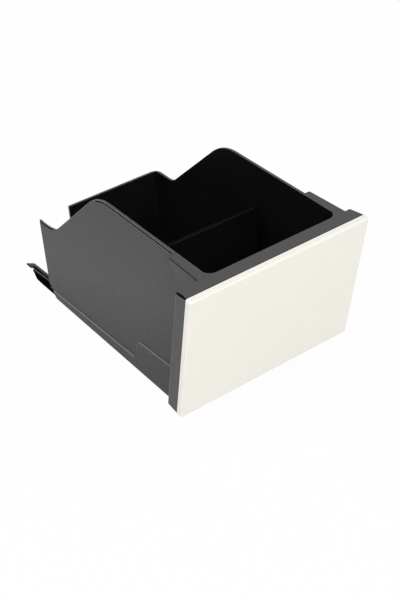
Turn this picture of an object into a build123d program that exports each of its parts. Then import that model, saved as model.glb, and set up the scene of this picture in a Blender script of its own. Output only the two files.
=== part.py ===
from build123d import *
import math
import os

os.makedirs("parts", exist_ok=True)

# All sizes in mm. X is right of the bin's middle seen from the front, Y is the depth behind the rim's front
# edge, Z is up from the rest plane. On export everything moves so that the origin is the whole drawer's
# bottom centre.

# Bin walls
RIM_Z = 131.0
IN_HALF = 53.05
WALL = 1.8
OUT_HALF = IN_HALF + WALL
FLOOR_T = 2.2
FLOOR_Z = 10.5
FLOOR_TOP = FLOOR_Z + FLOOR_T
REAR_Y = 227.0
FRONT_CORNER_R = 6.5
REAR_CORNER_R = 6.5
INNER_R = 2.0

# Side wall outline: level rim, rounded shoulder, slope, low tail, leaning back, raised heel behind the skirt
SHOULDER_Y = 135.5
SHOULDER_R = 40.0
SLOPE_FOOT_Y = 203.2
TAIL_Z = 68.9
FOOT_R = 14.0
REAR_LEAN = 0.03
HEEL_Y = 221.5
HEEL_Z = 5.6
SKIRT_END_Y = 219.0
SKIRT_CUT = 4.6

# Dip in the top of the left tail, which falls inwards across the wall
DIP_Y = 222.0
DIP_Z = 67.35
DIP_R = 60.0
DIP_FALL = 0.9

# Shadow groove under the lip, on the rim and on the tail
GROOVE_DROP = 0.4
GROOVE_H = 1.3
GROOVE_D = 0.6
GROOVE_END_Y = 138.0
TAIL_GROOVE_Y = 207.0
TAIL_GROOVE_H = 1.7
TAIL_GROOVE_D = 0.4

# Front panel's reach past the bin, which is larger on the left
LEFT_OVER = 23.1
RIGHT_OVER = 12.5
PANEL_X = (-OUT_HALF - LEFT_OVER, OUT_HALF + RIGHT_OVER)

# Rim plate along the front and flanges along the sides
PLATE_T = 1.2
PLATE_FRONT_Y = 0.5
PLATE_BACK_Y = 11.0
PLATE_IN = (0.6, 1.1)
PLATE_TAPER = (1.2, 2.0)
PLATE_FRONT_X = (PANEL_X[0] + PLATE_IN[0], PANEL_X[1] - PLATE_IN[1])
PLATE_BACK_X = (PLATE_FRONT_X[0] + PLATE_TAPER[0], PLATE_FRONT_X[1] - PLATE_TAPER[1])
PLATE_UNDERCUT = 1.0
FLANGE_OUT = 5.3
FLANGE_HALF = OUT_HALF + FLANGE_OUT
FLANGE_END_Y = 45.3
FLANGE_TAPER = 1.4
FLANGE_R = 1.0
GUSSET_GAP = 1.5
GUSSET_IN = 0.5
GUSSET_H = 26.0

# Back wall cut-out
NOTCH_W = 24.1
NOTCH_Z = 46.0
NOTCH_R = 3.0

# Proud lower band on both sides: its top edge rises to the front and steps up in a curve
BAND_OUT = 1.2
BAND_CHAMFER = 1.0
BAND_HEEL_Z = 5.2
BAND_STEP_LOW = (108.5, 9.1)
BAND_STEP_HIGH = (95.0, 27.8)
BAND_FRONT_Z = 32.0

# Sloped front, with a chin that runs back below the panel
TILT = 10.6
FRONT_IN = 10.7
FRONT_OUT = FRONT_IN - WALL
CHIN_Z = 27.0
CHIN_Y = 46.0

# Divider and its guides
DIV_Y = 94.0
DIV_T = 2.0
DIV_TOP_Z = 99.0
DIV_SIDE_GAP = 0.5
DIV_FOOT_CUT = 6.0
DRAIN_W = 12.0
DRAIN_H = 3.0
DRAIN_COUNT = 4
BEAD_OUT = 0.5
BEAD_H = 2.4
DIV_RIB = 2.0
DIV_RIB_OUT = 1.6
GUIDE_GAP = 0.3
GUIDE_W = 1.6
GUIDE_OUT = 2.6
GUIDE_R = 2.2

# Front carrier and panel, in the sloped frame of the front
CAR_INSET = 0.3
CAR_X = (PANEL_X[0] + CAR_INSET, PANEL_X[1] - CAR_INSET)
CAR_DEPTH = 11.3
CAR_H = 107.0
CAR_PLATE = 3.5
CAR_WALL = 2.2
CAR_EDGE_R = 1.5
CAR_SIDE_GAP = 0.6
CAR_TOP_GAP = (0.15, 1.1)
PANEL_DROP = 0.4
PANEL_H = CAR_H + PANEL_DROP
PANEL_T = 4.6
PANEL_SKIN = 2.2
PANEL_BEVEL = 1.1
PANEL_R = 1.2
PANEL_RIB = 1.6
POCKET_COUNT = (4, 3)

# Panel clips and their slots in the carrier
CLIP_EDGE = 12.0
CLIP_TOP = 14.0
CLIP_FOOT = 9.0
CLIP_W = 7.0
CLIP_T = 1.8
CLIP_REACH = 5.0
CLIP_BARB = 0.8
CLIP_SEAT = 0.1
CLIP_PLAY = 0.3

# Carrier screws in blind bosses on the bin's front
SCREW_D = 3.0
HEAD_D = 5.8
HEAD_H = 1.8
HEAD_SINK = 0.1
CROSS_W = 1.0
CROSS_DEPTH = 0.8
CROSS_SHARE = 0.65
SCREW_PLAY = 0.05
HOLE_PLAY = 0.2
CAR_SCREW_IN = 13.0
CAR_SCREW_TOP = 24.0
CAR_SCREW_FOOT = 22.0
BOSS_D = 8.0
THREAD_IN = 5.5
BLIND = 0.5

# Runner screws in blind bosses under the floor
RUN_SCREW_D = 2.2
RUN_HEAD_D = 4.6
RUN_HEAD_H = 1.4
RUN_SCREW_IN = 6.3
RUN_SCREW_X = IN_HALF - RUN_SCREW_IN
RUN_SCREW_Y = (86.0, 174.0)
RUN_BOSS_D = 6.0

# Runners: a web in a rebate of the side wall's foot, a screw ledge, and a tail behind the bin
REBATE_OUT = 1.65
REBATE_Z = 4.4
RUN_PLAY = 0.1
RUN_OUTER = IN_HALF + REBATE_OUT - RUN_PLAY
RUN_W = 1.5
RUN_START_Y = 66.0
RUN_NOSE = 8.0
TAIL_REACH = 25.6
TAIL_Y = REAR_Y + TAIL_REACH
TAIL_GAP = 0.6
TAIL_TOP_Z = 9.8
TAIL_TOE = (0.6, 7.4, 6.8)
TAIL_SLANT = (5.6, 0.4)
LEDGE_W = 8.5
LEDGE_Z = (2.2, 4.2)
LEDGE_END_Y = 194.0

# Latch tongues on their pins
SLIT = 0.9
TONGUE_T = 2.2
TONGUE_Z = (2.2, 10.1)
TONGUE_TIP_Z = 8.7
BEAK_GAP = 0.4
BEAK_Z = 7.1
BEAK_OUT = 2.6
BEAK_RISE = (0.6, 3.0)
BEAK_LEN = 8.4
TONGUE_PAST = 3.8
PIVOT_IN = 5.3
PIVOT_X = RUN_OUTER - PIVOT_IN
PIVOT_Y = 205.0
EYE_D = 5.2
PIN_D = 2.5
PIN_PLAY = 0.05
PIN_Z = (0.3, FLOOR_Z - PIN_PLAY)
FOOT_H = 1.8
FOOT_HALF = 6.0

OVER = RIM_Z + 20
sin_t = math.sin(math.radians(TILT))
cos_t = math.cos(math.radians(TILT))
FRONT = Plane(origin=(0, 0, RIM_Z), x_dir=(1, 0, 0), z_dir=(0, -cos_t, -sin_t))
SIDES = (-1, 1)
INTO = (Align.CENTER, Align.CENTER, Align.MAX)
OUT_OF = (Align.CENTER, Align.CENTER, Align.MIN)
CAR_SCREWS = [
    (side * (IN_HALF - CAR_SCREW_IN), y) for side in SIDES for y in (-CAR_SCREW_TOP, CAR_SCREW_FOOT - CAR_H)
]
CLIP_SPOTS = [
    (x, y)
    for x in (PANEL_X[0] + CLIP_EDGE, sum(PANEL_X) / 2, PANEL_X[1] - CLIP_EDGE)
    for y in (-CLIP_TOP, CLIP_FOOT - CAR_H)
]


def front_y(depth, z):
    """Depth behind the rim edge of the sloped plane that lies `depth` behind the panel's back."""
    return depth / cos_t + (RIM_Z - z) * sin_t / cos_t


def outline(*points):
    """Flat face inside straight edges."""
    return make_face(Polyline(*points, close=True))


def across(face, half):
    """Solid across the bin from a side view face of (y, z) points."""
    return extrude(Plane.YZ * face, half, both=True)


def block(x, y, z):
    """Box between pairs of limits."""
    size = [b - a for a, b in (x, y, z)]
    mid = [(a + b) / 2 for a, b in (x, y, z)]
    return Pos(*mid) * Box(*size)


def rod(d, x, y, z0, z1):
    """Upright cylinder between two heights."""
    return Pos(x, y, (z0 + z1) / 2) * Cylinder(d / 2, z1 - z0)


def round_at(face, point, r):
    """The face with the corner nearest to point rounded."""
    return fillet(face.vertices().sort_by_distance(point)[0], r)


def rear_y(z):
    """Depth of the leaning back wall's outer face."""
    return REAR_Y - (TAIL_Z - z) * REAR_LEAN


def plan_prism(inset, r_left, r_right):
    """Prism of the bin's plan that leans with the back wall, with rounded rear corners."""
    half, rear = OUT_HALF - inset, rear_y(-OVER) - inset
    face = outline((-half, -2 * OVER), (half, -2 * OVER), (half, rear), (-half, rear))
    if r_left:
        face = round_at(face, (-half, rear, 0), r_left)
    face = round_at(face, (half, rear, 0), r_right)
    return extrude(Pos(0, 0, -OVER) * face, 3 * OVER, dir=(0, REAR_LEAN, 1))


def under_rim(y0, y1, drop=0.0):
    """Side view area under the top edge of the side walls, lowered by drop."""
    corners = [(y0, 0), (y0, RIM_Z), (SHOULDER_Y, RIM_Z), (SLOPE_FOOT_Y, TAIL_Z), (y1, TAIL_Z), (y1, 0)]
    face = outline(*[(y, z - drop) for y, z in corners])
    face = round_at(face, (SHOULDER_Y, RIM_Z - drop), SHOULDER_R)
    return round_at(face, (SLOPE_FOOT_Y, TAIL_Z - drop), FOOT_R)


def make_shell():
    """Outer form less the hollow; also returns the hollow."""
    shell = across(under_rim(-OVER, REAR_Y + WALL), OUT_HALF) & plan_prism(0, 0, REAR_CORNER_R)
    chin = (front_y(FRONT_OUT, CHIN_Z), CHIN_Z)
    shell -= across(
        outline((-2 * OVER, OVER), (front_y(FRONT_OUT, OVER), OVER), chin, (CHIN_Y, 0), (-2 * OVER, 0)), OVER
    )
    heel = outline(
        (SKIRT_END_Y - SKIRT_CUT, 0), (SKIRT_END_Y, SKIRT_CUT), (SKIRT_END_Y, HEEL_Z), (HEEL_Y, HEEL_Z),
        (HEEL_Y + OVER, HEEL_Z + OVER), (HEEL_Y + OVER, 0),
    )
    shell -= across(heel, OVER)
    in_chin_y = front_y(FRONT_IN, CHIN_Z)
    hollow = across(
        outline(
            (front_y(FRONT_IN, OVER), OVER), (in_chin_y, CHIN_Z), (in_chin_y + CHIN_Z - FLOOR_TOP, FLOOR_TOP),
            (REAR_Y, FLOOR_TOP), (REAR_Y + WALL, OVER),
        ),
        IN_HALF,
    )
    hollow &= plan_prism(WALL, INNER_R, REAR_CORNER_R - WALL)
    corners = hollow.edges().filter_by(lambda e: e.center().Y < CHIN_Y).sort_by(SortBy.LENGTH)
    sides = corners.filter_by(lambda e: abs(e.center().X) > IN_HALF - 0.01)
    hollow = fillet(sides[-2:], FRONT_CORNER_R)
    return shell - hollow, hollow


def make_rim(hollow):
    """Front plate and side flanges in one piece, undercut at the plate's ends."""
    (left, right), (back_left, back_right) = PLATE_FRONT_X, PLATE_BACK_X
    flange_end = FLANGE_HALF - FLANGE_TAPER
    face = outline(
        (left, PLATE_FRONT_Y), (right, PLATE_FRONT_Y), (back_right, PLATE_BACK_Y),
        (FLANGE_HALF, PLATE_BACK_Y), (flange_end, FLANGE_END_Y),
        (-flange_end, FLANGE_END_Y), (-FLANGE_HALF, PLATE_BACK_Y), (back_left, PLATE_BACK_Y),
    )
    for side in SIDES:
        face = round_at(face, (side * flange_end, FLANGE_END_Y, 0), FLANGE_R)
    rim = extrude(Pos(0, 0, RIM_Z - PLATE_T) * face, PLATE_T)
    mid_y = (PLATE_FRONT_Y + PLATE_BACK_Y) / 2
    mid_x = ((left + back_left) / 2, (right + back_right) / 2)
    ends = [rim.edges().sort_by_distance((x, mid_y, RIM_Z - PLATE_T))[0] for x in mid_x]
    return chamfer(ends, PLATE_UNDERCUT) - hollow


def make_band():
    """Proud lower band along both sides."""
    (low_y, low_z), (high_y, high_z) = BAND_STEP_LOW, BAND_STEP_HIGH
    front = (front_y(FRONT_OUT, BAND_FRONT_Z), BAND_FRONT_Z)
    chin = (front_y(FRONT_OUT, CHIN_Z), CHIN_Z)
    heel = (SKIRT_END_Y, BAND_HEEL_Z)
    rise = (low_z - BAND_HEEL_Z) / (low_y - SKIRT_END_Y)
    tops = [
        Line(front, (high_y, high_z)),
        Spline((high_y, high_z), (low_y, low_z), tangents=[(1, rise), (1, rise)]),
        Line((low_y, low_z), heel),
    ]
    foot = Polyline(heel, (SKIRT_END_Y, SKIRT_CUT), (SKIRT_END_Y - SKIRT_CUT, 0), (CHIN_Y, 0), chin, front)
    half = OUT_HALF + BAND_OUT
    band = across(make_face(tops + [foot]), half)
    spots = [(side * half, *tuple(edge @ 0.5)[:2]) for side in SIDES for edge in tops]
    band = chamfer([band.edges().sort_by_distance(spot)[0] for spot in spots], BAND_CHAMFER)
    return band - block((-OUT_HALF, OUT_HALF), (0, REAR_Y), (-1, RIM_Z))


def make_bin():
    body, hollow = make_shell()
    body += make_rim(hollow)
    body += make_band()

    # Gussets under the side flanges, which follow their taper and leave a shadow gap
    gusset_z = RIM_Z - PLATE_T - GUSSET_GAP
    length = FLANGE_END_Y - PLATE_BACK_Y
    for side in SIDES:
        gusset = outline(
            (side * (OUT_HALF - WALL / 2), gusset_z), (side * (FLANGE_HALF - GUSSET_IN), gusset_z),
            (side * OUT_HALF, gusset_z - GUSSET_H), (side * (OUT_HALF - WALL / 2), gusset_z - GUSSET_H),
        )
        along = (-side * FLANGE_TAPER / length, 1, 0)
        body += Pos(0, PLATE_BACK_Y, 0) * extrude(Plane.XZ * gusset, length, dir=along) - hollow

    # Shadow groove under the lip of the rim on both sides
    rim = under_rim(0, REAR_Y, GROOVE_DROP) - under_rim(0, REAR_Y, GROOVE_DROP + GROOVE_H)
    rim &= outline((FLANGE_END_Y, 0), (FLANGE_END_Y, OVER), (GROOVE_END_Y, OVER), (GROOVE_END_Y, 0))
    for side in SIDES:
        body -= Pos(side * OUT_HALF, 0, 0) * extrude(Plane.YZ * rim, GROOVE_D, both=True)

    # Dip in the left tail, with its own groove
    dip_axis = Pos(-OUT_HALF, DIP_Y, DIP_Z + DIP_R) * Rot(0, 90, 0)
    dip = Cone(DIP_R - DIP_FALL, DIP_R + 2 * DIP_FALL, 3 * WALL)
    tail = block((-OVER, 0), (SLOPE_FOOT_Y, REAR_Y + 1), (0, RIM_Z))
    body -= dip_axis * Pos(0, 0, WALL / 2) * dip & tail
    lip_r = DIP_R + GROOVE_DROP
    ring = Cylinder(lip_r + TAIL_GROOVE_H, 2 * TAIL_GROOVE_D) - Cylinder(lip_r, 2 * TAIL_GROOVE_D)
    body -= dip_axis * ring & block((-OVER, 0), (TAIL_GROOVE_Y, REAR_Y + 1), (0, TAIL_Z))

    # Hollow under the floor, open at the back, with a rebate for the runners in both side walls
    start = CHIN_Y + WALL
    body -= block((-IN_HALF, IN_HALF), (start, REAR_Y + 1), (-1, FLOOR_Z))
    rebate = IN_HALF + REBATE_OUT
    body -= block((-rebate, rebate), (RUN_START_Y - RUN_PLAY, REAR_Y + 1), (-1, REBATE_Z))

    # Back wall cut-out
    notch_y = (rear_y(NOTCH_Z) - WALL - 2 * INNER_R, REAR_Y + WALL)
    notch = block((-IN_HALF, NOTCH_W - IN_HALF), notch_y, (NOTCH_Z, OVER))
    foot = notch.edges().filter_by(Axis.Y).group_by(Axis.Z)[0]
    body -= fillet(foot, NOTCH_R)

    # Guide ribs for the divider
    for side in SIDES:
        for y in (DIV_Y - GUIDE_GAP - GUIDE_W, DIV_Y + DIV_T + GUIDE_GAP):
            x = sorted((side * (IN_HALF + WALL / 2), side * (IN_HALF - GUIDE_OUT)))
            rib = block(x, (y, y + GUIDE_W), (FLOOR_TOP - FLOOR_T / 2, DIV_TOP_Z))
            tip = rib.edges().filter_by(Axis.Y).sort_by_distance((0, y, RIM_Z))[0]
            body += fillet(tip, GUIDE_R)

    # Blind screw bosses: on the sloped front for the carrier, under the floor for the runners
    for x, y in CAR_SCREWS:
        spot = FRONT * Pos(x, y, -CAR_PLATE)
        body += spot * Cylinder(BOSS_D / 2, FRONT_OUT - CAR_PLATE + WALL / 2, align=INTO)
        body -= spot * Cylinder(SCREW_D / 2 + SCREW_PLAY, THREAD_IN + BLIND, align=INTO)
    for side in SIDES:
        for y in RUN_SCREW_Y:
            x = side * RUN_SCREW_X
            body += rod(RUN_BOSS_D, x, y, LEDGE_Z[1], FLOOR_Z + FLOOR_T / 2)
            body -= rod(RUN_SCREW_D + 2 * SCREW_PLAY, x, y, 0, FLOOR_Z + 2 * BLIND)
    return body


def make_carrier():
    mid, width = sum(CAR_X) / 2, CAR_X[1] - CAR_X[0]
    pan = FRONT * Pos(mid, -CAR_H / 2, 0) * Box(width, CAR_H, CAR_DEPTH, align=INTO)
    rear = pan.faces().sort_by(Axis((0, 0, RIM_Z), (0, cos_t, sin_t)))[-1]
    pan = fillet(rear.edges(), CAR_EDGE_R)
    # Hollow behind the plate, open at the top
    inside = width - 2 * CAR_WALL
    pan -= FRONT * Pos(mid, CAR_WALL, -CAR_PLATE) * Box(inside, 2 * CAR_H, CAR_DEPTH, align=INTO)
    # The bottom return ends at the bin's sloped front, which it rests against
    gap = 2 * (OUT_HALF + BAND_OUT + CAR_SIDE_GAP)
    pan -= FRONT * Pos(0, -CAR_H, -FRONT_OUT) * Box(gap, 4 * CAR_WALL, CAR_DEPTH, align=INTO)
    # The top falls away from the rim plate towards the rear
    front_z, rear_z = (RIM_Z - PLATE_T - gap for gap in CAR_TOP_GAP)
    above = outline(
        (-OVER, front_z), (0, front_z), (PLATE_BACK_Y, rear_z), (OVER, rear_z), (OVER, OVER), (-OVER, OVER)
    )
    pan -= across(above, OVER)
    for x, y in CAR_SCREWS:
        pan -= FRONT * Pos(x, y, 0) * Cylinder(SCREW_D / 2 + HOLE_PLAY, 3 * CAR_PLATE)
        pan -= FRONT * Pos(x, y, 0) * Cylinder(HEAD_D / 2 + HOLE_PLAY, HEAD_H + HEAD_SINK, align=INTO)
    for x, y in CLIP_SPOTS:
        slot_h = CLIP_T + CLIP_BARB + 2 * CLIP_PLAY
        pan -= FRONT * Pos(x, y + CLIP_BARB / 2, 0) * Box(CLIP_W + 2 * CLIP_PLAY, slot_h, 3 * CAR_PLATE)
    return pan


def make_panel():
    mid, width = sum(PANEL_X) / 2, PANEL_X[1] - PANEL_X[0]
    panel = Pos(mid, -PANEL_H / 2, 0) * Box(width, PANEL_H, PANEL_T, align=OUT_OF)
    panel = fillet(panel.edges().filter_by(Axis.Z), PANEL_R)
    panel = fillet(panel.faces().sort_by(Axis.Z)[-1].edges(), PANEL_BEVEL)
    # Pockets behind the skin, parted by stiffening ribs
    columns, rows = POCKET_COUNT
    pitch_x = (width - 2 * PANEL_SKIN + PANEL_RIB) / columns
    pitch_y = (PANEL_H - 2 * PANEL_SKIN + PANEL_RIB) / rows
    depth = PANEL_T - PANEL_SKIN
    pocket = Box(pitch_x - PANEL_RIB, pitch_y - PANEL_RIB, depth, align=OUT_OF)
    for spot in GridLocations(pitch_x, pitch_y, columns, rows):
        panel -= Pos(mid, -PANEL_H / 2, 0) * spot * pocket
    # Snap clips that reach through the carrier and catch behind its plate
    catch = -CAR_PLATE - CLIP_SEAT
    for x, y in CLIP_SPOTS:
        low, high, root = y - CLIP_T / 2, y + CLIP_T / 2, depth + PANEL_SKIN / 2
        clip = outline(
            (low, root), (low, -CLIP_REACH), (high, -CLIP_REACH),
            (high + CLIP_BARB, catch), (high, catch), (high, root),
        )
        panel += Pos(x, 0, 0) * across(clip, CLIP_W / 2)
    return FRONT * panel


def make_divider():
    half, cut = IN_HALF - DIV_SIDE_GAP, DIV_FOOT_CUT
    face = outline(
        (-half + cut, FLOOR_TOP), (half - cut, FLOOR_TOP), (half, FLOOR_TOP + cut), (half, DIV_TOP_Z),
        (-half, DIV_TOP_Z), (-half, FLOOR_TOP + cut),
    )
    plate = extrude(Plane.XZ * face, -DIV_T)
    # Drain gaps along the foot
    for spot in GridLocations(2 * DRAIN_W, 1, DRAIN_COUNT, 1):
        x = spot.position.X
        drain_z = (FLOOR_TOP - 1, FLOOR_TOP + DRAIN_H)
        plate -= block((x - DRAIN_W / 2, x + DRAIN_W / 2), (-1, DIV_T + 1), drain_z)
    # Grip bead along the top and two stiffening ribs
    bead_half = IN_HALF - GUIDE_OUT - 1
    bead = block((-bead_half, bead_half), (-BEAD_OUT, DIV_T + BEAD_OUT), (DIV_TOP_Z - BEAD_H, DIV_TOP_Z))
    plate += fillet(bead.edges().filter_by(Axis.X).group_by(Axis.Z)[-1], BEAD_OUT)
    for side in SIDES:
        x = side * IN_HALF / 2
        rib_z = (FLOOR_TOP + 2 * cut, DIV_TOP_Z - BEAD_H / 2)
        plate += block((x - DIV_RIB / 2, x + DIV_RIB / 2), (DIV_T / 2, DIV_T + DIV_RIB_OUT), rib_z)
    return Pos(0, DIV_Y, 0) * plate


def make_runner():
    """The left runner."""
    rail_z, tail_y = REBATE_Z - RUN_PLAY, rear_y(TAIL_TOP_Z) + TAIL_GAP
    back, top_z, toe_z = TAIL_TOE
    slant, end_z = TAIL_SLANT
    web = outline(
        (RUN_START_Y, 0), (TAIL_Y - slant - RUN_NOSE, 0), (TAIL_Y - slant, end_z), (TAIL_Y, toe_z),
        (TAIL_Y - back, top_z), (tail_y, TAIL_TOP_Z), (tail_y, rail_z),
        (RUN_START_Y + RUN_NOSE, rail_z), (RUN_START_Y, rail_z / 2),
    )
    piece = Pos(-RUN_OUTER, 0, 0) * extrude(Plane.YZ * web, RUN_W)
    ledge_x = (-RUN_OUTER + RUN_W / 2, -RUN_OUTER + RUN_W + LEDGE_W)
    piece += block(ledge_x, (RUN_START_Y + RUN_NOSE, LEDGE_END_Y), LEDGE_Z)
    piece += block(ledge_x, (PIVOT_Y - FOOT_HALF, PIVOT_Y + FOOT_HALF), (0, FOOT_H))
    for y in RUN_SCREW_Y:
        piece -= rod(RUN_SCREW_D + 2 * HOLE_PLAY, -RUN_SCREW_X, y, 0, FLOOR_Z)
    return piece - rod(PIN_D, -PIVOT_X, PIVOT_Y, -1, FOOT_H + 1)


def make_latch():
    """The left latch tongue, with a thin beak that hooks out behind the runner's tail."""
    outer = -RUN_OUTER + RUN_W + SLIT
    inner = outer + TONGUE_T
    z0, z1 = TONGUE_Z
    root = TAIL_Y + BEAK_GAP
    end = root + TONGUE_PAST
    side = outline((PIVOT_Y, z0), (root, z0), (end, BEAK_Z), (end, TONGUE_TIP_Z), (REAR_Y, z1), (PIVOT_Y, z1))
    tongue = Pos(outer, 0, 0) * extrude(Plane.YZ * side, TONGUE_T)
    plan = outline(
        (inner, root), (outer, root), (outer - BEAK_OUT / 2, root + BEAK_RISE[0]),
        (outer - BEAK_OUT, root + BEAK_RISE[1]), (outer - BEAK_OUT, root + BEAK_LEN), (inner, end),
    )
    tongue += extrude(Pos(0, 0, BEAK_Z) * plan, TONGUE_TIP_Z - BEAK_Z)
    tongue += rod(EYE_D, -PIVOT_X, PIVOT_Y, z0, z1)
    return tongue - rod(PIN_D + 2 * PIN_PLAY, -PIVOT_X, PIVOT_Y, 0, RIM_Z)


def screw(d, head_d, head_h, length):
    """Cross-head screw: its seat at the origin, its shank down."""
    head = Cylinder(head_d / 2, head_h, align=OUT_OF)
    arm = CROSS_SHARE * head_d
    cross = Box(CROSS_W, arm, 2 * CROSS_DEPTH) + Box(arm, CROSS_W, 2 * CROSS_DEPTH)
    return head - Pos(0, 0, head_h) * cross + Cylinder(d / 2, length, align=INTO)


def make_carrier_screws():
    one = screw(SCREW_D, HEAD_D, HEAD_H, CAR_PLATE - HEAD_H - HEAD_SINK + THREAD_IN)
    return Compound([FRONT * Pos(x, y, -HEAD_H - HEAD_SINK) * one for x, y in CAR_SCREWS])


def make_runner_screws():
    one = Rot(180, 0, 0) * screw(RUN_SCREW_D, RUN_HEAD_D, RUN_HEAD_H, FLOOR_Z - LEDGE_Z[0] + BLIND)
    return Compound([Pos(side * RUN_SCREW_X, y, LEDGE_Z[0]) * one for side in SIDES for y in RUN_SCREW_Y])


def make_pins():
    return Compound([rod(PIN_D, side * PIVOT_X, PIVOT_Y, *PIN_Z) for side in SIDES])


left_runner = make_runner()
left_latch = make_latch()
nodes = {
    "bin_body": make_bin(),
    "front_carrier": make_carrier(),
    "front_panel": make_panel(),
    "divider": make_divider(),
    "left_runner": left_runner,
    "right_runner": mirror(left_runner, about=Plane.YZ),
    "left_latch": left_latch,
    "right_latch": mirror(left_latch, about=Plane.YZ),
    "latch_pins": make_pins(),
    "carrier_screws": make_carrier_screws(),
    "runner_screws": make_runner_screws(),
}

box = Compound(list(nodes.values())).bounding_box()
centre = box.center()
print("origin", round(centre.X, 4), round(centre.Y, 4), round(box.min.Z, 4))
for name, shape in nodes.items():
    export_step(Pos(-centre.X, -centre.Y, -box.min.Z) * shape, f"parts/{name}.step")
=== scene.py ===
"""Looks of a pull-out waste drawer: materials, floor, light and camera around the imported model."""

import math

import bpy
from mathutils import Matrix, Vector


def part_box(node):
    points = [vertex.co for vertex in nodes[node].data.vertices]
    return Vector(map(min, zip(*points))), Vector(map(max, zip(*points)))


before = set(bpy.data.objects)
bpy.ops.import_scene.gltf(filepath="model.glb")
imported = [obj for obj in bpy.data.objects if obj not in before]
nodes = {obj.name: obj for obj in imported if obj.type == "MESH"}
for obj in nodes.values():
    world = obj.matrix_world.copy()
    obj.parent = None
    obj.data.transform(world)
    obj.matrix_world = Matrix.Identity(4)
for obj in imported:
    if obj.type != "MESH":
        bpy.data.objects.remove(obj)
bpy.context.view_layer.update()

# Places in metres, read from the frame
BIN_LOW, BIN_HIGH = (Vector(corner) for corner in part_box("bin_body"))
DIVIDER_LOW, DIVIDER_HIGH = (Vector(corner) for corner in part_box("divider"))
BIN_MID_X = (DIVIDER_LOW.x + DIVIDER_HIGH.x) / 2
RIM_Z = BIN_HIGH.z

# The bin's inside, polished black, lies between a sloped front wall and a back wall that leans
WALL = 0.0018
DIVIDER_GAP = 0.0005
INSIDE_HALF = (DIVIDER_HIGH.x - DIVIDER_LOW.x) / 2 + DIVIDER_GAP
INSIDE_REAR = BIN_HIGH.y - WALL
INSIDE_FRONT = 0.0107
FRONT_TILT = math.radians(10.6)
FLOOR_TOP = DIVIDER_LOW.z
TAIL_Z = 0.0689
REAR_LEAN = 0.03

# Outer forms of the bin: the groove under the lip, the gussets, the lower band and the front plate
OUTSIDE_HALF = INSIDE_HALF + WALL
GROOVE_DEPTH = 0.0006
GROOVE_MIN_Z = 0.06
GUSSET_DROP = 0.0027
GUSSET_TOP = RIM_Z - GUSSET_DROP
BAND_MAX_Z = 0.045
PLATE_DEPTH = 0.012
PLATE_REAR = BIN_LOW.y + PLATE_DEPTH

# The carrier's top, which lies in the gap under the front plate
CARRIER_DROP = 0.004
CARRIER_TOP_MIN = RIM_Z - CARRIER_DROP

# How far a face's centre may lie off the place that it is tested for
NEAR = 0.0001

# Parts of a face's unit normal along an axis, by which square, steep and leaning faces are told apart
EXACT = 0.999
SQUARE = 0.9
STEEP = 0.8
SLOPED = 0.5
LEANING = 0.3
ROUNDED = 0.25

# The same for the divider's bead: where its rounded edges begin and end, and which of them look forwards
BEAD_RISE = 0.2
BEAD_FLAT = 0.98
BEAD_FRONT = 0.1

# The camera stands where the photo's edges put it, given from the middle of the rim's front edge
RIM_EDGE_GAP = 0.0005
RIM_FRONT = Vector((BIN_MID_X, BIN_LOW.y - RIM_EDGE_GAP, RIM_Z))
CAMERA_SPOT = Vector((-0.41118, -0.49709, 0.44084))
VIEW_RIGHT = Vector((0.8015, -0.5962, -0.0469))
VIEW_DOWN = Vector((-0.3852, -0.4547, -0.8031))
VIEW_FORWARD = Vector((0.4574, 0.6617, -0.594))
LENS = 74.18
SENSOR = 36

# Lamps in metres and watts, all aimed at the origin
KEY_LAMP = dict(spot=(-0.7, -2.2, 0.9), size=1.6, power=24)
FILL_LAMP = dict(spot=(0.6, -2.2, 0.8), size=1.6, power=5)
LEFT_LAMP = dict(spot=(-0.8, 0.05, 0.6), size=0.5, power=2.2)

# Strength of the studio light at the horizon and overhead, and the floor with the share that its glow has
SKY_LOW = 0.85
SKY_TOP = 0.6
WHITE = (1, 1, 1)
FLOOR = (0.45, 0.45, 0.45)
FLOOR_SIZE = 12
FLOOR_ROUGH = 0.9
FLOOR_SPECULAR = 0.1
FLOOR_GLOW = 1.025
GLOW_SHARE = 0.95

# Colours of the bin's outside and of the carrier, with painted shade and painted highlights among them
GREY = (0.0745, 0.0745, 0.074)
# Edge colour of the grey: abrasion and painted highlight
GREY_EDGE = (0.3, 0.3, 0.298)
BIN_GREY = (0.0712, 0.0712, 0.0707)
# Painted shade: the bin's grey darkens towards its foot and towards its rim
BIN_FOOT_PAINTED_SHADE = (0.04, 0.04, 0.0397)
BIN_RIM_PAINTED_SHADE = (0.058, 0.058, 0.0576)
# The plate's top: a lighter copy of the grey as painted light, and painted shade along its edges
PLATE_LIT_GREY = (0.08, 0.08, 0.0795)
PLATE_EDGE_PAINTED_SHADE = (0.022, 0.022, 0.0218)
# Painted shade on the outer faces of the flanges and gussets
FLANGE_PAINTED_SHADE = (0.0555, 0.0555, 0.055)
# Painted shade on the sloped end of the band's step
STEP_PAINTED_SHADE = (0.034, 0.034, 0.0338)
# Painted highlight along the top of the band, and the darker grey that it gives way to
LEDGE_PAINTED_HIGHLIGHT = (0.2, 0.2, 0.199)
LEDGE_OUTER_GREY = (0.048, 0.048, 0.0475)
# Painted highlight on the carrier's rounded rear edges
CARRIER_PAINTED_HIGHLIGHT = (0.15, 0.15, 0.149)

# Colours of the front panel, the rails and the metal pieces
IVORY = (0.893, 0.868, 0.797)
IVORY_EDGE = (0.93, 0.905, 0.84)
RAIL_SIDE = (0.003, 0.003, 0.003)
# Painted light on the rails' upward faces
RAIL_TOP_PAINTED_LIGHT = (0.1, 0.1, 0.098)
STEEL = (0.46, 0.46, 0.48)
STEEL_EDGE = (0.62, 0.62, 0.63)

# Colours of the bin's inside, the divider and the gaps; lighter copies and fades of the black there are
# painted light
BLACK = (0.005, 0.005, 0.005)
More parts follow.
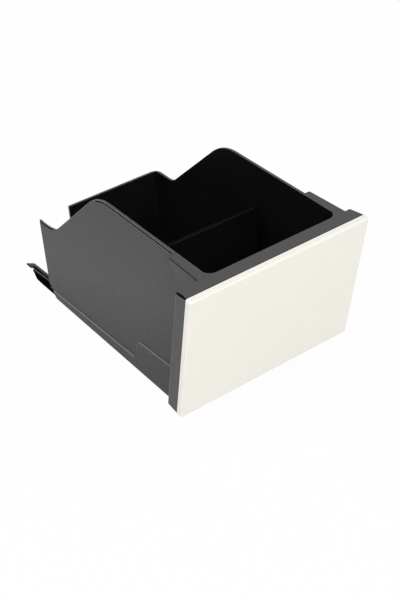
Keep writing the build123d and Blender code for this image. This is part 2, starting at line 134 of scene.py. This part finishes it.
# Painted light: the inside's black lightens towards its lower front
INSIDE_LOW_PAINTED_LIGHT = (0.0105, 0.0105, 0.0105)
BLACK_EDGE = (0.012, 0.012, 0.012)
# Painted light: the back wall is a lighter copy of the black, lighter still towards its foot
BACK_LIT_BLACK = (0.009, 0.009, 0.009)
BACK_LOW_PAINTED_LIGHT = (0.0165, 0.0165, 0.0165)
# Painted light: the divider is a lighter copy of the black, lighter still towards its foot
DIVIDER_LIT_BLACK = (0.0095, 0.0095, 0.0095)
DIVIDER_LOW_PAINTED_LIGHT = (0.024, 0.024, 0.024)
# Painted shade: the top of the divider's bead is darker than the black
BEAD_SHADED_BLACK = (0.0045, 0.0045, 0.0045)
# Painted highlight on the bead's rounded front edge
BEAD_PAINTED_HIGHLIGHT = (0.021, 0.021, 0.021)
# Painted shade that gaps and crevices darken to
GAP_PAINTED_SHADE = (0.002, 0.002, 0.002)

# Directions along which painted shade and painted light fade, and where each fade starts and ends along its
# direction
UP = (0, 0, 1)
OUTSIDE_UP = (0, 0.3, 1)
INSIDE_UP = (0, 0.38, 1)
FOOT_SHADE_SPAN = (0.06, 0.0)
RIM_SHADE_SPAN = (0.07, 0.12)
INSIDE_SPAN = (0.1, 0.03)
BACK_SPAN = (0.065, 0.015)
DIVIDER_SPAN = (0.092, 0.06)

# Fades of painted shade and painted light: a direction, the span along it, and the colour that it ends in
GREY_PAINTED_SHADE_FADES = ((OUTSIDE_UP, FOOT_SHADE_SPAN, BIN_FOOT_PAINTED_SHADE), (OUTSIDE_UP, RIM_SHADE_SPAN, BIN_RIM_PAINTED_SHADE))
INSIDE_PAINTED_LIGHT_FADES = ((INSIDE_UP, INSIDE_SPAN, INSIDE_LOW_PAINTED_LIGHT),)
BACK_PAINTED_LIGHT_FADES = ((UP, BACK_SPAN, BACK_LOW_PAINTED_LIGHT),)
DIVIDER_PAINTED_LIGHT_FADES = ((UP, DIVIDER_SPAN, DIVIDER_LOW_PAINTED_LIGHT),)

# The top of the band has a painted highlight next to the wall, and is darker from a little further out
HIGHLIGHT_WIDTH = 0.0006
DARKER_FROM = 0.001
LEDGE_SPAN = (OUTSIDE_HALF + HIGHLIGHT_WIDTH, OUTSIDE_HALF + DARKER_FROM)

# How far up a rail's face looks where its painted light starts, and where it is painted lighter all over
RAIL_LIT_SPAN = (0.75, 0.95)

# Finishes: uneven tone, gloss, how far the edges are rounded in metres, and the moulded grain
GREY_FINISH = dict(
    tone=0.03, rough=0.5, specular=0.2, edge_radius=0.0006, grain_scale=4200, grain_depth=0.00003
)
BIN_FINISH = dict(GREY_FINISH, tone=0.018)
PLATE_FINISH = dict(BIN_FINISH, edge_radius=0.0004)
UNWORN_FINISH = dict(GREY_FINISH, edge_radius=0.0003)
# Finish of the painted highlights on the band's top and the carrier's rear edges
HIGHLIGHT_FINISH = dict(UNWORN_FINISH, tone=0.05, rough=0.42)
LEDGE_FINISH = dict(HIGHLIGHT_FINISH, edge_radius=0.0001)
IVORY_FINISH = dict(
    tone=0.006, rough=0.42, specular=0.35, edge_radius=0.0005, grain_scale=1500, grain_depth=0.00002
)
BLACK_FINISH = dict(
    tone=0.1, rough=0.35, specular=0.008, edge_radius=0.0003, grain_scale=900, grain_depth=0.00001
)
DIVIDER_FINISH = dict(BLACK_FINISH, edge_radius=0.0002)
BEAD_FINISH = dict(DIVIDER_FINISH, rough=0.45, specular=0.004)
BEAD_EDGE_FINISH = dict(BEAD_FINISH, edge_radius=0.0001)
RAIL_FINISH = dict(
    tone=0.05, rough=0.5, specular=0.0, edge_radius=0.00015, grain_scale=1400, grain_depth=0.00002
)
STEEL_FINISH = dict(
    tone=0.04, rough=0.34, specular=0.5, edge_radius=0.0002, grain_scale=1800, grain_depth=0.00002
)

# Noise in every finish: its scale for tone, for the edge colour of abrasion and painted highlight, and for
# gloss, and the part of its range that counts
NOISE_DETAIL = 3.0
TONE_SCALE = 38
EDGE_MARK_SCALE = 160
GLOSS_SCALE = 260
NOISE_SPAN = (0.3, 0.7)
EDGE_MARK_SPAN = (0.3, 0.6)
EDGE_MARK_RANGE = (0.55, 1.0)
GLOSS_CHANGE = 0.04
GRAIN_STRENGTH = 0.3

# Edges and gaps: how far a normal turns at an edge coloured by abrasion and painted highlight, and how open
# a spot is where that edge colour and the painted shade of gaps show
EDGE_SAMPLES = 6
EDGE_TURN = (0.99, 0.9)
GAP_SAMPLES = 8
GAP_REACH = 0.003
EDGE_MARK_OPENNESS = (0.55, 0.85)
GAP_OPENNESS = (0.12, 0.42)


def rgba(colour):
    """A colour with full alpha."""
    return [*colour, 1.0]


class Paint:
    """A node material built step by step around its Principled shader."""

    # Places of the colour sockets on a Mix node, where each socket's name stands once for every data type
    MIX_FACTOR = 0
    MIX_FIRST = 6
    MIX_SECOND = 7
    MIX_RESULT = 2

    def __init__(self, name):
        self.mat = bpy.data.materials.new(name)
        self.mat.use_nodes = True
        self.tree = self.mat.node_tree
        self.shader = self.tree.nodes["Principled BSDF"]
        self.coords = self.add("ShaderNodeTexCoord").outputs["Object"]

    def add(self, kind, links=(), **values):
        """A node with its values set, and with its inputs linked by name or place."""
        node = self.tree.nodes.new(kind)
        for key, value in values.items():
            if hasattr(node, key):
                setattr(node, key, value)
            else:
                node.inputs[key].default_value = value
        for key, source in dict(links).items():
            self.tree.links.new(source, node.inputs[key])
        return node

    def set(self, **values):
        """Constants on the shader's own sockets."""
        for key, value in values.items():
            self.shader.inputs[key.replace("_", " ")].default_value = value

    def link(self, source, socket):
        self.tree.links.new(source, self.shader.inputs[socket])

    def colour(self):
        """The output that gives the shader its colour so far."""
        return self.shader.inputs["Base Color"].links[0].from_socket

    def noise(self, scale):
        node = self.add("ShaderNodeTexNoise", {"Vector": self.coords}, Scale=scale, Detail=NOISE_DETAIL)
        return node.outputs["Fac"]

    def spread(self, value, span, to=(0.0, 1.0)):
        """A value moved from one range to another."""
        node = self.add("ShaderNodeMapRange", {"Value": value})
        node.inputs["From Min"].default_value, node.inputs["From Max"].default_value = span
        node.inputs["To Min"].default_value, node.inputs["To Max"].default_value = to
        return node.outputs["Result"]

    def mix(self, factor, first, second):
        """Two colours, or colour outputs, mixed by a factor output."""
        node = self.add("ShaderNodeMix", {self.MIX_FACTOR: factor}, data_type="RGBA")
        for place, colour in ((self.MIX_FIRST, first), (self.MIX_SECOND, second)):
            if isinstance(colour, bpy.types.NodeSocket):
                self.tree.links.new(colour, node.inputs[place])
            else:
                node.inputs[place].default_value = rgba(colour)
        return node.outputs[self.MIX_RESULT]

    def times(self, first, second):
        """Two outputs multiplied."""
        return self.add("ShaderNodeMath", {0: first, 1: second}, operation="MULTIPLY").outputs["Value"]

    def along(self, direction):
        """How far a spot lies along a direction."""
        node = self.add("ShaderNodeVectorMath", {0: self.coords}, operation="DOT_PRODUCT")
        node.inputs[1].default_value = direction
        return node.outputs["Value"]

    def off_middle(self):
        """How far a spot lies to the left or right of the bin's middle."""
        across = self.add("ShaderNodeSeparateXYZ", {"Vector": self.coords}).outputs["X"]
        from_middle = self.add("ShaderNodeMath", {0: across}, operation="SUBTRACT")
        from_middle.inputs[1].default_value = BIN_MID_X
        distance = self.add("ShaderNodeMath", {0: from_middle.outputs["Value"]}, operation="ABSOLUTE")
        return distance.outputs["Value"]

    def openness(self):
        """How open a spot lies, from 0 deep in a gap to 1 in the free."""
        return self.add("ShaderNodeAmbientOcclusion", samples=GAP_SAMPLES, Distance=GAP_REACH).outputs["AO"]

    def soft_edges(self, radius):
        """The normal with its edges rounded, and a mask of those edges."""
        rounded = self.add("ShaderNodeBevel", samples=EDGE_SAMPLES, Radius=radius).outputs["Normal"]
        flat = self.add("ShaderNodeNewGeometry").outputs["Normal"]
        turn = self.add("ShaderNodeVectorMath", {0: rounded, 1: flat}, operation="DOT_PRODUCT")
        return rounded, self.spread(turn.outputs["Value"], EDGE_TURN)

    def grain(self, normal, scale, depth):
        """Fine moulded texture as a bump over a normal."""
        links = {"Height": self.noise(scale), "Normal": normal}
        bump = self.add("ShaderNodeBump", links, Strength=GRAIN_STRENGTH, Distance=depth)
        self.link(bump.outputs["Normal"], "Normal")


def moulded(
    name, colour, edge, tone, rough, specular, edge_radius, grain_scale, grain_depth, fades=(), gap=GAP_PAINTED_SHADE
):
    """A surface with uneven tone and gloss, fine grain, and rounded edges whose own colour stands for
    abrasion and painted highlight.

    Gaps are darkened with painted shade to the colour given for them, or not at all where it is None.
    """
    paint = Paint(name)
    paint.set(Specular_IOR_Level=specular)
    cloud = paint.spread(paint.noise(TONE_SCALE), NOISE_SPAN)
    base = paint.mix(cloud, [c * (1 - tone) for c in colour], [c * (1 + tone) for c in colour])
    # Fades of painted shade and painted light over the base colour
    for direction, span, faded in fades:
        base = paint.mix(paint.spread(paint.along(direction), span), base, faded)
    normal, edges = paint.soft_edges(edge_radius)
    openness = paint.openness()
    # Edge colour on open, rounded edges: abrasion and painted highlight
    wear_and_highlight = paint.times(edges, paint.spread(paint.noise(EDGE_MARK_SCALE), EDGE_MARK_SPAN, EDGE_MARK_RANGE))
    wear_and_highlight = paint.times(wear_and_highlight, paint.spread(openness, EDGE_MARK_OPENNESS))
    edged = paint.mix(wear_and_highlight, base, edge)
    # Painted shade in gaps, by how open a spot is
    if gap:
        edged = paint.mix(paint.spread(openness, GAP_OPENNESS), gap, edged)
    paint.link(edged, "Base Color")
    gloss = paint.spread(paint.noise(GLOSS_SCALE), NOISE_SPAN, (rough - GLOSS_CHANGE, rough + GLOSS_CHANGE))
    paint.link(gloss, "Roughness")
    paint.grain(normal, grain_scale, grain_depth)
    return paint


def ledge_painted_highlight():
    """The sloped top of the bin's band: a painted highlight along the wall, and darker towards its outer
    edge.
    """
    paint = moulded("ledge_painted_highlight", LEDGE_PAINTED_HIGHLIGHT, LEDGE_PAINTED_HIGHLIGHT, **LEDGE_FINISH)
    darker_out = paint.spread(paint.off_middle(), LEDGE_SPAN)
    paint.link(paint.mix(darker_out, paint.colour(), LEDGE_OUTER_GREY), "Base Color")
    return paint


def rail_plastic():
    """Black plastic whose upward faces carry painted light in grey, where light falls on them."""
    paint = moulded("rail_plastic", RAIL_SIDE, RAIL_TOP_PAINTED_LIGHT, **RAIL_FINISH)
    normal = paint.add("ShaderNodeNewGeometry").outputs["Normal"]
    upward = paint.add("ShaderNodeSeparateXYZ", {"Vector": normal}).outputs["Z"]
    lit_top = paint.spread(upward, RAIL_LIT_SPAN)
    paint.link(paint.mix(lit_top, paint.colour(), RAIL_TOP_PAINTED_LIGHT), "Base Color")
    return paint


def zinc_steel():
    """Zinc plated steel of the pins and screws."""
    paint = moulded("steel", STEEL, STEEL_EDGE, **STEEL_FINISH)
    paint.set(Metallic=1.0)
    return paint


# Tests of a face by its centre and normal, each for one kind of face


def is_inside(centre, normal):
    """Whether a face of the bin belongs to its polished inside."""
    behind = (centre.y - RIM_FRONT.y) * math.cos(FRONT_TILT) + (centre.z - RIM_Z) * math.sin(FRONT_TILT)
    rear = INSIDE_REAR - (TAIL_Z - centre.z) * REAR_LEAN
    within = abs(centre.x - BIN_MID_X) < INSIDE_HALF + NEAR and centre.y < rear + NEAR
    above_floor = centre.z > FLOOR_TOP - NEAR
    faces_down = normal.z < -LEANING
    on_rim = is_top(centre, normal)
    return within and above_floor and behind > INSIDE_FRONT - NEAR and not (on_rim or faces_down)


def is_outside(centre):
    """Whether a face of the bin lies further out than its side walls."""
    return abs(centre.x - BIN_MID_X) > OUTSIDE_HALF + NEAR


def is_top(centre, normal):
    """Whether a face of the bin lies flat on top of its rim."""
    return normal.z > SQUARE and centre.z > RIM_Z - NEAR


def on_back(centre, normal):
    """Whether a face of the bin is the inside of its back wall."""
    return is_inside(centre, normal) and normal.y < -SQUARE


def in_bin_gap(centre, normal):
    """Whether a face of the bin lies in the groove under the lip or on top of a gusset."""
    depth = OUTSIDE_HALF - abs(centre.x - BIN_MID_X)
    bottom = abs(normal.x) > EXACT and depth < GROOVE_DEPTH + NEAR / 2
    side = abs(normal.z) > STEEP and depth < GROOVE_DEPTH - NEAR
    groove = depth > NEAR / 2 and (bottom or side) and GROOVE_MIN_Z < centre.z < RIM_Z - NEAR
    gusset = depth < -NEAR and normal.z > SQUARE and abs(centre.z - GUSSET_TOP) < NEAR
    return groove or gusset


def on_ledge(centre, normal):
    """Whether a face of the bin is the sloped top of its lower band, which carries a painted highlight."""
    sloped = abs(normal.x) > SLOPED and abs(normal.y) < LEANING and SLOPED < normal.z < SQUARE
    return is_outside(centre) and sloped and centre.z < BAND_MAX_Z


def on_step(centre, normal):
    """Whether a face of the bin is the sloped end of its band's step, which looks away from the light and is
    painted in shade.
    """
    sloped = abs(normal.x) > SLOPED and normal.y > LEANING
    return is_outside(centre) and sloped and centre.z < BAND_MAX_Z


def on_flange_side(centre, normal):
    """Whether a face of the bin is the outside of a flange or gusset, which nothing rubs and which is
    painted in shade.
    """
    return is_outside(centre) and abs(normal.x) > SQUARE and centre.z > BAND_MAX_Z


def on_plate(centre, normal):
    """Whether a face of the bin is the top of its front plate or of a flange, which nothing rubs; it is a
    lighter copy of the grey as painted light, with painted shade along its edges.
    """
    return is_top(centre, normal) and (is_outside(centre) or centre.y < PLATE_REAR)


def in_carrier_gap(centre, normal):
    """Whether a face of the carrier lies in the gap under the front plate."""
    return centre.z > CARRIER_TOP_MIN and normal.z > SLOPED


def on_carrier_edge(centre, normal):
    """Whether a face of the carrier is the rounded rear edge of a side, which carries a painted highlight.
    """
    return abs(normal.x) > ROUNDED and normal.y > ROUNDED


def on_bead_edge(centre, normal):
    """Whether a face of the divider is the rounded front edge of its bead."""
    return BEAD_RISE < normal.z < BEAD_FLAT and normal.y < -BEAD_FRONT


def on_bead(centre, normal):
    """Whether a face of the divider is on top of its bead."""
    return normal.z > BEAD_RISE


def dress(node, paint, *parts):
    """Paint a node. Each part is a paint and the test of its faces, and the first test passed decides."""
    mesh = nodes[node].data
    mesh.materials.clear()
    mesh.materials.append(paint.mat)
    for part_paint, _ in parts:
        mesh.materials.append(part_paint.mat)
    for face in mesh.polygons:
        passed = (slot for slot, (_, test) in enumerate(parts, 1) if test(face.center, face.normal))
        face.material_index = next(passed, 0)


def dress_bin_and_carrier():
    """Matte grey outside, polished black inside, black painted as shadow in the gaps, and painted shade and
    painted highlights on the bands, flanges, plate and edges, with abrasion on the edges too.
    """
    # Black painted as shadow into the groove under the lip, onto the gusset tops and into the carrier's gap
    # under the front plate
    gap_painted_shadow = moulded("gap_painted_shadow", BLACK, BLACK_EDGE, **BLACK_FINISH)
    # The back wall: a lighter copy of the black, lighter still towards its foot, as painted light
    back_painted_light = moulded("back_painted_light", BACK_LIT_BLACK, BLACK_EDGE, **BLACK_FINISH, fades=BACK_PAINTED_LIGHT_FADES, gap=None)
    # The rest of the inside: black, lightened towards its lower front as painted light
    inside_black = moulded("black_plastic", BLACK, BLACK_EDGE, **BLACK_FINISH, fades=INSIDE_PAINTED_LIGHT_FADES, gap=None)
    dress(
        "bin_body",
        moulded("bin_plastic", BIN_GREY, GREY_EDGE, **BIN_FINISH, fades=GREY_PAINTED_SHADE_FADES),
        (gap_painted_shadow, in_bin_gap),
        (back_painted_light, on_back),
        (inside_black, is_inside),
        (ledge_painted_highlight(), on_ledge),
        (moulded("shaded_grey", FLANGE_PAINTED_SHADE, FLANGE_PAINTED_SHADE, **UNWORN_FINISH), on_flange_side),
        (moulded("step_painted_shade", STEP_PAINTED_SHADE, STEP_PAINTED_SHADE, **UNWORN_FINISH), on_step),
        (moulded("plate_lit_grey", PLATE_LIT_GREY, PLATE_EDGE_PAINTED_SHADE, **PLATE_FINISH, fades=GREY_PAINTED_SHADE_FADES), on_plate),
    )
    dress(
        "front_carrier",
        moulded("grey_plastic", GREY, GREY_EDGE, **GREY_FINISH),
        (gap_painted_shadow, in_carrier_gap),
        (moulded("carrier_painted_highlight", CARRIER_PAINTED_HIGHLIGHT, GREY_EDGE, **HIGHLIGHT_FINISH), on_carrier_edge),
    )


def dress_panel_and_divider():
    """Satin ivory in front, and a black divider with painted light, painted shade on its bead's top and a
    painted highlight along the bead's front edge.
    """
    dress("front_panel", moulded("ivory_plastic", IVORY, IVORY_EDGE, **IVORY_FINISH))
    dress(
        "divider",
        # The divider: a lighter copy of the black, lighter still towards its foot, as painted light
        moulded("divider_painted_light", DIVIDER_LIT_BLACK, BLACK_EDGE, **DIVIDER_FINISH, fades=DIVIDER_PAINTED_LIGHT_FADES, gap=None),
        # Painted highlight on the bead's front edge
        (moulded("bead_painted_highlight", BEAD_PAINTED_HIGHLIGHT, BEAD_PAINTED_HIGHLIGHT, **BEAD_EDGE_FINISH), on_bead_edge),
        # Painted shade on top of the bead
        (moulded("bead_painted_shade", BEAD_SHADED_BLACK, BLACK_EDGE, **BEAD_FINISH), on_bead),
    )


def dress_rails_and_metal():
    """Black rails and latches, and the steel pins and screws."""
    rail = rail_plastic()
    for node in ("left_runner", "right_runner", "left_latch", "right_latch"):
        dress(node, rail)
    steel = zinc_steel()
    for node in ("latch_pins", "carrier_screws", "runner_screws"):
        dress(node, steel)


def seen_rays(tree):
    """1 for rays that show the background: straight from the camera, mirrored or through glass."""
    path = tree.nodes.new("ShaderNodeLightPath")
    total = path.outputs["Is Camera Ray"]
    for kind in ("Is Glossy Ray", "Is Transmission Ray"):
        either = tree.nodes.new("ShaderNodeMath")
        either.operation = "MAXIMUM"
        tree.links.new(total, either.inputs[0])
        tree.links.new(path.outputs[kind], either.inputs[1])
        total = either.outputs["Value"]
    return total


def make_floor():
    """Floor that shows evenly white, with a weak shadow of the object left on it."""
    bpy.ops.mesh.primitive_plane_add(size=FLOOR_SIZE, location=(0, 0, 0))
    floor = bpy.context.object
    floor.name = "floor"
    paint = Paint("floor")
    paint.set(Base_Color=rgba(FLOOR), Roughness=FLOOR_ROUGH, Specular_IOR_Level=FLOOR_SPECULAR)
    glow = paint.add("ShaderNodeEmission", Color=rgba(WHITE), Strength=FLOOR_GLOW)
    share = paint.spread(seen_rays(paint.tree), (0.0, 1.0), (0.0, GLOW_SHARE))
    shaders = {1: paint.shader.outputs["BSDF"], 2: glow.outputs["Emission"]}
    mixed = paint.add("ShaderNodeMixShader", {"Fac": share, **shaders})
    surface = paint.tree.nodes["Material Output"].inputs["Surface"]
    paint.tree.links.new(mixed.outputs["Shader"], surface)
    floor.data.materials.append(paint.mat)


def make_world():
    """Soft studio light, a little weaker from above. The background itself shows as plain white."""
    world = bpy.data.worlds.new("studio")
    bpy.context.scene.world = world
    world.use_nodes = True
    tree = world.node_tree
    shade = tree.nodes["Background"]
    shade.inputs["Color"].default_value = rgba(WHITE)
    coords = tree.nodes.new("ShaderNodeTexCoord")
    height = tree.nodes.new("ShaderNodeSeparateXYZ")
    tree.links.new(coords.outputs["Generated"], height.inputs["Vector"])
    light = tree.nodes.new("ShaderNodeMapRange")
    light.inputs["To Min"].default_value = SKY_LOW
    light.inputs["To Max"].default_value = SKY_TOP
    tree.links.new(height.outputs["Z"], light.inputs["Value"])
    level = tree.nodes.new("ShaderNodeMix")
    tree.links.new(seen_rays(tree), level.inputs["Factor"])
    tree.links.new(light.outputs["Result"], level.inputs["A"])
    level.inputs["B"].default_value = 1.0
    tree.links.new(level.outputs["Result"], shade.inputs["Strength"])


def make_lamp(name, spot, size, power):
    data = bpy.data.lights.new(name, "AREA")
    data.size = size
    data.energy = power
    lamp = bpy.data.objects.new(name, data)
    bpy.context.collection.objects.link(lamp)
    lamp.location = spot
    lamp.rotation_euler = (-Vector(spot)).to_track_quat("-Z", "Y").to_euler()


def make_camera():
    data = bpy.data.cameras.new("camera")
    data.lens = LENS
    data.sensor_width = SENSOR
    camera = bpy.data.objects.new("camera", data)
    bpy.context.collection.objects.link(camera)
    turn = Matrix((VIEW_RIGHT, -VIEW_DOWN, -VIEW_FORWARD)).transposed().to_4x4()
    camera.matrix_world = Matrix.Translation(RIM_FRONT + CAMERA_SPOT) @ turn
    bpy.context.scene.camera = camera


dress_bin_and_carrier()
dress_panel_and_divider()
dress_rails_and_metal()
make_floor()
make_world()
make_lamp("key", **KEY_LAMP)
make_lamp("fill", **FILL_LAMP)
make_lamp("left", **LEFT_LAMP)
make_camera()
bpy.context.scene.view_settings.view_transform = "Standard"
